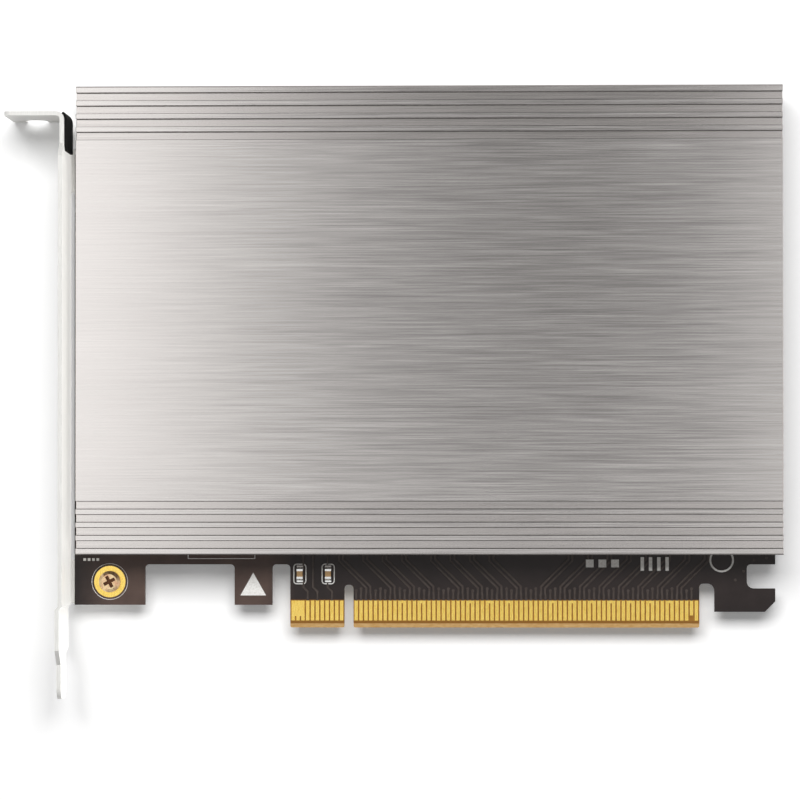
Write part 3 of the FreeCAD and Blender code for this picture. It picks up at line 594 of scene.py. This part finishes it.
def recess_shade_mask(tree, place, seat, head_height, facing):
    """1 on the floor and walls of a cross recess, whose floor is halfway up the head, else 0: where
    shade is painted into the recess.
    """
    height = add(tree, "ShaderNodeSeparateXYZ", {"Vector": place}).outputs["Z"]
    normal = add(tree, "ShaderNodeNewGeometry").outputs["True Normal"]
    turned = add(tree, "ShaderNodeSeparateXYZ", {"Vector": normal}).outputs["Z"]
    rise = add(tree, "ShaderNodeMapRange", {
        "Value": height, "From Min": seat * MM, "From Max": (seat + facing * head_height) * MM},
        clamp=False).outputs[0]
    steep = add(tree, "ShaderNodeMath", {0: turned}, operation="ABSOLUTE").outputs[0]
    above_floor = add(tree, "ShaderNodeMath", {
        0: rise, 1: RECESS_BOTTOM_SHARE}, operation="GREATER_THAN").outputs[0]
    below_top = add(tree, "ShaderNodeMath", {
        0: rise, 1: RECESS_TOP_SHARE}, operation="LESS_THAN").outputs[0]
    on_cone = add(tree, "ShaderNodeMath", {
        0: steep, 1: CONE_RISE, 2: CONE_RISE_SPREAD}, operation="COMPARE").outputs[0]
    off_cone = add(tree, "ShaderNodeMath", {0: 1.0, 1: on_cone}, operation="SUBTRACT").outputs[0]
    inside = add(tree, "ShaderNodeMath", {
        0: above_floor, 1: below_top}, operation="MULTIPLY").outputs[0]
    return add(tree, "ShaderNodeMath", {0: inside, 1: off_cone}, operation="MULTIPLY").outputs[0]


def screw_metal(name, dark, pale, widths, recess, recess_shade_colour, roughest, depth_mm):
    """Plated screw metal: an uneven tint, a satin skin with fine pits, and a cross recess darkened
    with painted shade.
    """
    material, tree = new_material(name)
    place = add(tree, "ShaderNodeTexCoord").outputs["Object"]
    tint, satin, pits = [
        add(tree, "ShaderNodeTexNoise", {
            "Vector": place, "Scale": 1 / (width * MM), "Detail": NOISE_DETAIL}).outputs["Fac"]
        for width in widths
    ]
    tint_share = add(tree, "ShaderNodeMapRange", {"Value": tint, **NOISE_SPREAD}).outputs[0]
    skin_colour = add(tree, "ShaderNodeMix", {
        FACTOR: tint_share, FIRST: linear(dark), SECOND: linear(pale)},
        data_type="RGBA").outputs[MIXED]
    # The cross recess takes a dark painted shade colour in place of the skin's.
    colour = add(tree, "ShaderNodeMix", {
        FACTOR: recess_shade_mask(tree, place, *recess), FIRST: skin_colour,
        SECOND: linear(recess_shade_colour)},
        data_type="RGBA").outputs[MIXED]
    roughness = add(tree, "ShaderNodeMapRange", {
        "Value": satin, **NOISE_SPREAD,
        "To Min": roughest - SATIN_RANGE, "To Max": roughest}).outputs[0]
    relief = add(tree, "ShaderNodeBump", {
        "Height": pits, "Strength": 1.0, "Distance": depth_mm * MM}).outputs[0]
    shader = add(tree, "ShaderNodeBsdfPrincipled", {
        "Base Color": colour, "Metallic": 1.0, "Roughness": roughness, "Normal": relief}).outputs[0]
    add(tree, "ShaderNodeOutputMaterial", {"Surface": shader})
    return material


# Passivated zinc: a pinkish gold film with uneven tint over a turned and rolled screw. Its cross
# recess is painted dark brown as shade.
passivated = screw_metal(
    "yellow_passivated_steel", "d9a987", "f3dcae", (1.1, 0.5, 0.15),
    (RING_TOP, BRACKET_HEAD_HEIGHT, 1), "5c3d2c", 0.36, 0.006)
dress("bracket_screws", passivated)
# Nickel on a cold-headed screw: bright grey, with fine pits. Its cross recess is painted near black
# as shade.
nickel_screw = screw_metal(
    "nickel_plated_screw_steel", "b9b7b2", "d8d6d1", (0.8, 0.5, 0.2),
    (BOARD_BACK, COVER_HEAD_HEIGHT, -1), "2c2a28", 0.38, 0.004)
dress("heat_sink_screws", nickel_screw)

# COVER
# One aluminium extrusion with grooves along its long edges and a rail under each.
# Its outer face is brushed along its length, and its sawn ends and edges are lightly broken.

COVER_EDGE = 0.3
WELD_DISTANCE = 0.001
FLAT_ANGLE = 1
CORNER_ANGLE = 50
GROOVE_LEVEL = 9.4
WALL_LIMIT = 0.3
COARSE_SHARE = 0.25
WEAR_SHARE = 0.3
deselect()
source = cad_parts["heat_sink"]
cover = source.copy()
cover.data = source.data.copy()
bpy.context.scene.collection.objects.link(cover)
cover.hide_render = False
cover.parent = None
cover.matrix_world = Matrix.Identity(4)
cover.select_set(True)
bpy.context.view_layer.objects.active = cover
bpy.ops.object.mode_set(mode="EDIT")
bpy.ops.mesh.select_all(action="SELECT")
bpy.ops.mesh.remove_doubles(threshold=WELD_DISTANCE * MM)
bpy.ops.mesh.dissolve_limited(angle_limit=math.radians(FLAT_ANGLE))
bpy.ops.object.mode_set(mode="OBJECT")
broken_edges = cover.modifiers.new("broken_edges", "BEVEL")
broken_edges.width = COVER_EDGE * MM
broken_edges.segments = 1
broken_edges.limit_method = "ANGLE"
broken_edges.angle_limit = math.radians(CORNER_ANGLE)
broken_edges.use_clamp_overlap = True
bpy.ops.object.modifier_apply(modifier=broken_edges.name)
bpy.ops.object.shade_flat()

# Aluminium brushed along X: grain lines 0.2 mm wide and 15 mm long, with coarser ones of 0.8 by
# 32 mm, spread a highlight across the grain. Faint bands 9 mm wide come from the wear of the belt.
brushed, tree = new_material("brushed_extruded_aluminium")
place = add(tree, "ShaderNodeTexCoord").outputs["Object"]
fine, coarse, bands = [
    add(tree, "ShaderNodeTexNoise", {
        "Vector": add(tree, "ShaderNodeMapping", {
            "Vector": place,
            "Scale": tuple(1 / (width * MM * s) for s in (stretch, 1, 1))}).outputs[0],
        "Scale": 1.0, "Detail": detail}).outputs["Fac"]
    for width, stretch, detail in ((0.22, 70, 4.0), (0.8, 40, 2.0), (9.0, 8, 2.0))
]
grain = add(tree, "ShaderNodeMix", {
    FACTOR: COARSE_SHARE, FIRST: fine, SECOND: coarse}, data_type="RGBA").outputs[MIXED]
streaks, wear = [
    add(tree, "ShaderNodeMix", {
        FACTOR: add(tree, "ShaderNodeMapRange", {"Value": noise, **NOISE_SPREAD}).outputs[0],
        FIRST: linear(dark), SECOND: linear(pale)}, data_type="RGBA").outputs[MIXED]
    for noise, dark, pale in ((grain, "bdb8b6", "dcd8d5"), (bands, "cdc9c6", "d8d4d1"))
]
# Faces that turn towards the sides in Y, the grooves' walls and the edges' bevels, are painted dark
# grey as shade, and all below the lands is a little darker, as painted shade in the grooves.
normal = add(tree, "ShaderNodeNewGeometry").outputs["True Normal"]
sideways = add(tree, "ShaderNodeSeparateXYZ", {"Vector": normal}).outputs["Y"]
steep = add(tree, "ShaderNodeMath", {0: sideways}, operation="ABSOLUTE").outputs[0]
painted_shade_on_walls = add(tree, "ShaderNodeMath", {
    0: steep, 1: WALL_LIMIT}, operation="GREATER_THAN").outputs[0]
height = add(tree, "ShaderNodeSeparateXYZ", {"Vector": place}).outputs["Z"]
painted_shade_below_lands = add(tree, "ShaderNodeMath", {
    0: height, 1: GROOVE_LEVEL * MM}, operation="LESS_THAN").outputs[0]
# Over the streaks lie the belt's wear bands, then the painted shade below the lands and on the
# walls.
cover_colour_and_shade = streaks
for share, over in ((WEAR_SHARE, wear), (painted_shade_below_lands, linear("cbc6c3")), (painted_shade_on_walls, linear("8f8a87"))):
    cover_colour_and_shade = add(tree, "ShaderNodeMix", {
        FACTOR: share, FIRST: cover_colour_and_shade, SECOND: over}, data_type="RGBA").outputs[MIXED]
roughness = add(tree, "ShaderNodeMapRange", {
    "Value": grain, **NOISE_SPREAD, "To Min": 0.13, "To Max": 0.2}).outputs[0]
relief = add(tree, "ShaderNodeBump", {
    "Height": grain, "Strength": 1.0, "Distance": 0.0008 * MM}).outputs[0]
shader = add(tree, "ShaderNodeBsdfPrincipled", {
    "Base Color": cover_colour_and_shade, "Metallic": 1.0, "Roughness": roughness,
    "Normal": relief}).outputs[0]
add(tree, "ShaderNodeOutputMaterial", {"Surface": shader})
place_piece(cover, "cover", brushed)
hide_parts("heat_sink")

# SMALL PARTS ON THE BOARD
# Sockets, standoffs, pads and the power stage stand under the cover, soldered or stuck down.
# Two chip capacitors stand in the open above the first row of contacts.

ROUGHNESS_REACH = 0.06


def small_part(name, dark, pale, roughness, grit_mm, metallic):
    """A plain skin with an uneven tint, fine grit and a dull or bright shine.

    A moulded skin has a deeper relief and broader dull patches than a plated one.
    """
    material, tree = new_material(name)
    place = add(tree, "ShaderNodeTexCoord").outputs["Object"]
    patch_share, depth_mm = (2, 0.004) if metallic else (3, 0.006)
    grit, patches = [
        add(tree, "ShaderNodeTexNoise", {
            "Vector": place, "Scale": 1 / (width * MM), "Detail": NOISE_DETAIL}).outputs["Fac"]
        for width in (grit_mm, grit_mm * patch_share)
    ]
    grit_share = add(tree, "ShaderNodeMapRange", {"Value": grit, **NOISE_SPREAD}).outputs[0]
    colour = add(tree, "ShaderNodeMix", {
        FACTOR: grit_share, FIRST: linear(dark), SECOND: linear(pale)},
        data_type="RGBA").outputs[MIXED]
    rough = add(tree, "ShaderNodeMapRange", {
        "Value": patches, **NOISE_SPREAD,
        "To Min": roughness - ROUGHNESS_REACH, "To Max": roughness + ROUGHNESS_REACH}).outputs[0]
    relief = add(tree, "ShaderNodeBump", {
        "Height": grit, "Strength": 1.0, "Distance": depth_mm * MM}).outputs[0]
    shader = add(tree, "ShaderNodeBsdfPrincipled", {
        "Base Color": colour, "Metallic": metallic, "Roughness": rough,
        "Normal": relief}).outputs[0]
    add(tree, "ShaderNodeOutputMaterial", {"Surface": shader})
    return material


# Moulded black parts are dull. Turned brass and tin plate are bright, with a fine uneven tint.
socket_plastic = small_part("black_glass_filled_nylon_moulded", "151515", "202020", 0.5, 0.2, 0.0)
contact_metal = small_part("gold_flashed_phosphor_bronze", "c9a862", "e2cc8e", 0.3, 0.3, 1.0)
standoff_brass = small_part("turned_brass", "b99a58", "d4b878", 0.28, 0.15, 1.0)
chip_epoxy = small_part("black_moulding_epoxy", "19191a", "242426", 0.55, 0.12, 0.0)
bulk_shell = small_part("moulded_capacitor_epoxy", "26262a", "34343a", 0.5, 0.15, 0.0)
iron_powder = small_part("pressed_iron_powder", "3c3c40", "56565c", 0.7, 0.3, 0.0)
silicone = small_part("filled_silicone_pad", "9fa3ab", "b4b8c0", 0.85, 0.35, 0.0)
fired_ceramic = small_part("fired_barium_titanate", "a8845a", "c6a476", 0.5, 0.15, 0.0)
tin_plate = small_part("bright_tin_plate", "dcdcda", "f2f2f0", 0.26, 0.2, 1.0)
for bay in range(1, 5):
    dress("socket_housing_%d" % bay, socket_plastic)
    dress("socket_contacts_%d" % bay, contact_metal)
    dress("module_standoff_%d" % bay, standoff_brass)
    dress("thermal_pad_%d" % bay, silicone)
for number in (1, 2):
    dress("power_inductor_%d" % number, iron_powder)
    dress("regulator_%d" % number, chip_epoxy)
    dress("bulk_capacitor_%d" % number, bulk_shell)
    dress("edge_capacitor_%d" % number, fired_ceramic)
    dress("edge_capacitor_ends_%d" % number, tin_plate)
dress("clock_buffer", chip_epoxy)

# SOLDER FILLETS
# Reflowed tin solder climbs each end of the two chip capacitors from its copper pad.
# A fillet is concave, and about 0.7 mm long and high.

FILLET_WIDTH = 1.3
FILLET_LENGTH = 0.72
FILLET_HEIGHT = 0.66
FILLET_TOE_HEIGHT = 0.06
FILLET_WAIST_SHARE = 0.3
FILLET_ROUNDING = 0.08
SMOOTH_ANGLE = 50
CAPACITOR_Y = 11.05
CAPACITOR_HALF = 1.0
# Shares of the fillet's length past which a corner is its toe or its waist.
TOE_REACH = 0.9
WAIST_REACH = 0.1
# Reflowed solder: bright, very smooth, with a faint frost where it froze last.
solder = small_part("reflowed_tin_solder", "d2d2d0", "eeeeec", 0.2, 0.25, 1.0)
fillets = []
for centre_x in CAPACITOR_X:
    for outward in (-1, 1):
        deselect()
        start = CAPACITOR_Y + outward * CAPACITOR_HALF
        middle = start + outward * FILLET_LENGTH / 2
        bpy.ops.mesh.primitive_cube_add(size=MM, location=(0, 0, 0))
        fillet = bpy.context.object
        fillet.scale = (FILLET_WIDTH, FILLET_LENGTH, FILLET_HEIGHT)
        fillet.location = (centre_x * MM, middle * MM, FILLET_HEIGHT / 2 * MM)
        bpy.ops.object.transform_apply(location=True, rotation=True, scale=True)
        bpy.ops.object.mode_set(mode="EDIT")
        bpy.ops.mesh.bisect(plane_co=(0, middle * MM, 0), plane_no=(0, 1, 0), clear_inner=False)
        bpy.ops.object.mode_set(mode="OBJECT")
        for vertex in fillet.data.vertices:
            if vertex.co.z > FILLET_HEIGHT / 2 * MM:
                reach = abs(vertex.co.y / MM - start) / FILLET_LENGTH
                if reach > TOE_REACH:
                    vertex.co.z = FILLET_TOE_HEIGHT * MM
                elif reach > WAIST_REACH:
                    vertex.co.z = FILLET_HEIGHT * FILLET_WAIST_SHARE * MM
        fillets.append(fillet)
solder_fillets = join(fillets)
wetting = solder_fillets.modifiers.new("wetting", "BEVEL")
wetting.width = FILLET_ROUNDING * MM
wetting.segments = 2
bpy.ops.object.modifier_apply(modifier=wetting.name)
bpy.ops.object.shade_smooth_by_angle(angle=math.radians(SMOOTH_ANGLE))
place_piece(solder_fillets, "solder_fillets", solder)

# TABLE AND LIGHT
# The card lies on a white table under one broad soft lamp, and a second lamp lights its bracket.
# A large grey card over the lens is what the brushed metal mirrors: dark above, pale at its sides.

FLOOR_HEIGHT = -5.6
TABLE_SIZE = 3
# The table and the sky are brighter to the lens and to reflections than to soft light.
TABLE_TO_SOFT_LIGHT = 0.8
TABLE_LIFT = 0.14
SKY_TO_SOFT_LIGHT = 0.2
deselect()
bpy.ops.mesh.primitive_plane_add(size=TABLE_SIZE, location=(0, 0, FLOOR_HEIGHT * MM))
table = bpy.context.object
table.name = "table"
table_paint, tree = new_material("matt_white_table")
path = add(tree, "ShaderNodeLightPath").outputs
seen = add(tree, "ShaderNodeMath", {
    0: path["Is Camera Ray"], 1: path["Is Glossy Ray"]}, operation="MAXIMUM").outputs[0]
table_level = add(tree, "ShaderNodeMapRange", {
    "Value": seen, "To Min": TABLE_TO_SOFT_LIGHT, "To Max": 1.0}).outputs[0]
paint = add(tree, "ShaderNodeBsdfDiffuse", {"Color": table_level}).outputs[0]
lift = add(tree, "ShaderNodeMath", {0: seen, 1: TABLE_LIFT}, operation="MULTIPLY").outputs[0]
glow = add(tree, "ShaderNodeEmission", {"Color": (1, 1, 1, 1), "Strength": lift}).outputs[0]
both = add(tree, "ShaderNodeAddShader", {0: paint, 1: glow}).outputs[0]
add(tree, "ShaderNodeOutputMaterial", {"Surface": both})
table.data.materials.append(table_paint)

world = bpy.data.worlds.new("studio")
bpy.context.scene.world = world
world.use_nodes = True
tree = world.node_tree
tree.nodes.clear()
path = add(tree, "ShaderNodeLightPath").outputs
seen = add(tree, "ShaderNodeMath", {
    0: path["Is Camera Ray"], 1: path["Is Glossy Ray"]}, operation="MAXIMUM").outputs[0]
strength = add(tree, "ShaderNodeMapRange", {
    "Value": seen, "To Min": SKY_TO_SOFT_LIGHT, "To Max": 1.0}).outputs[0]
sky = add(tree, "ShaderNodeBackground", {"Color": (1, 1, 1, 1), "Strength": strength}).outputs[0]
add(tree, "ShaderNodeOutputWorld", {"Surface": sky})


def only_in_reflections(thing):
    """Hides a thing from the lens and from all light but mirror reflections."""
    for ray in ("camera", "diffuse", "transmission", "shadow", "volume_scatter"):
        setattr(thing, "visible_" + ray, False)


MIRROR_CARD_HEIGHT = 1800
MIRROR_CARD_BOX = (-320, -27, 260, 1400)
# How bright the card is along X, in mm. A ramp's colours end at 1, so it holds them halved.
CARD_LEVELS = ((-300, 2.00), (-250, 2.00), (-205, 1.35), (-165, 0.90), (-120, 0.58), (-60, 0.36),
               (0, 0.26), (60, 0.24), (110, 0.24), (150, 0.23), (172, 0.25), (195, 0.60),
               (240, 1.60))
RAMP_SHARE = 0.5
card_left, card_bottom, card_right, card_top = MIRROR_CARD_BOX
deselect()
bpy.ops.mesh.primitive_plane_add(size=1, location=(0, 0, 0))
mirror_card = bpy.context.object
mirror_card.name = "mirror_card"
mirror_card.scale = ((card_right - card_left) * MM, (card_top - card_bottom) * MM, 1)
mirror_card.location = (
    (card_left + card_right) / 2 * MM, (card_bottom + card_top) / 2 * MM, MIRROR_CARD_HEIGHT * MM)
bpy.ops.object.transform_apply(location=True, rotation=True, scale=True)
only_in_reflections(mirror_card)
card_paint, tree = new_material("graded_grey_card")
place = add(tree, "ShaderNodeTexCoord").outputs["Object"]
along = add(tree, "ShaderNodeMapRange", {
    "Value": add(tree, "ShaderNodeSeparateXYZ", {"Vector": place}).outputs["X"],
    "From Min": card_left * MM, "From Max": card_right * MM}).outputs[0]
ramp = add(tree, "ShaderNodeValToRGB", {"Fac": along})
stops = ramp.color_ramp.elements
stops.remove(stops[1])
stops[0].position = 0
stops[0].color = (CARD_LEVELS[0][1] * RAMP_SHARE,) * 3 + (1,)
for x, level in CARD_LEVELS:
    stop = stops.new((x - card_left) / (card_right - card_left))
    stop.color = (level * RAMP_SHARE,) * 3 + (1,)
card_glow = add(tree, "ShaderNodeEmission", {
    "Color": ramp.outputs[0], "Strength": 1 / RAMP_SHARE}).outputs[0]
add(tree, "ShaderNodeOutputMaterial", {"Surface": card_glow})
mirror_card.data.materials.append(card_paint)

FLAG_LENGTH = 2.4
FLAG_HEIGHT = 0.16
FLAG_PLACES = (("flag_beyond", 0.9), ("flag_near", -0.8))
flag_black, tree = new_material("black_flag")
felt = add(tree, "ShaderNodeBsdfDiffuse", {"Color": linear("101010")}).outputs[0]
add(tree, "ShaderNodeOutputMaterial", {"Surface": felt})
# An upright black board stands beyond each long side of the card, and only bright metal shows it.
for flag_name, flag_y in FLAG_PLACES:
    deselect()
    bpy.ops.mesh.primitive_plane_add(size=1, location=(0, 0, 0))
    flag = bpy.context.object
    flag.name = flag_name
    flag.scale = (FLAG_LENGTH, FLAG_HEIGHT, 1)
    flag.rotation_euler = (math.radians(90), 0, 0)
    flag.location = (0, flag_y, FLAG_HEIGHT / 2)
    bpy.ops.object.transform_apply(location=True, rotation=True, scale=True)
    only_in_reflections(flag)
    flag.data.materials.append(flag_black)


def soft_lamp(name, place, target, size, power):
    """A rectangular soft lamp that faces its target and that no metal mirrors."""
    data = bpy.data.lights.new(name, "AREA")
    data.shape = "RECTANGLE"
    data.size, data.size_y = size
    data.energy = power
    lamp = bpy.data.objects.new(name, data)
    lamp.location = place
    lamp.rotation_euler = (Vector(target) - lamp.location).to_track_quat("-Z", "Y").to_euler()
    lamp.visible_glossy = False
    bpy.context.scene.collection.objects.link(lamp)
    return lamp


soft_lamp("key", place=(0.0, 0.5, 1.0), target=(0.01, 0.05, 0), size=(0.9, 0.45), power=11.5)
side = soft_lamp(
    "side", place=(0.8, 0.05, 0.05), target=(-0.057, 0.05, 0.01), size=(0.5, 0.5), power=13)
# The side lamp is for the bracket's inner face alone, and the cover doesn't shade it.
bracket_only = bpy.data.collections.new("bracket_only")
bracket_only.objects.link(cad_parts["slot_bracket"])
side.light_linking.receiver_collection = bracket_only
side.light_linking.blocker_collection = bracket_only
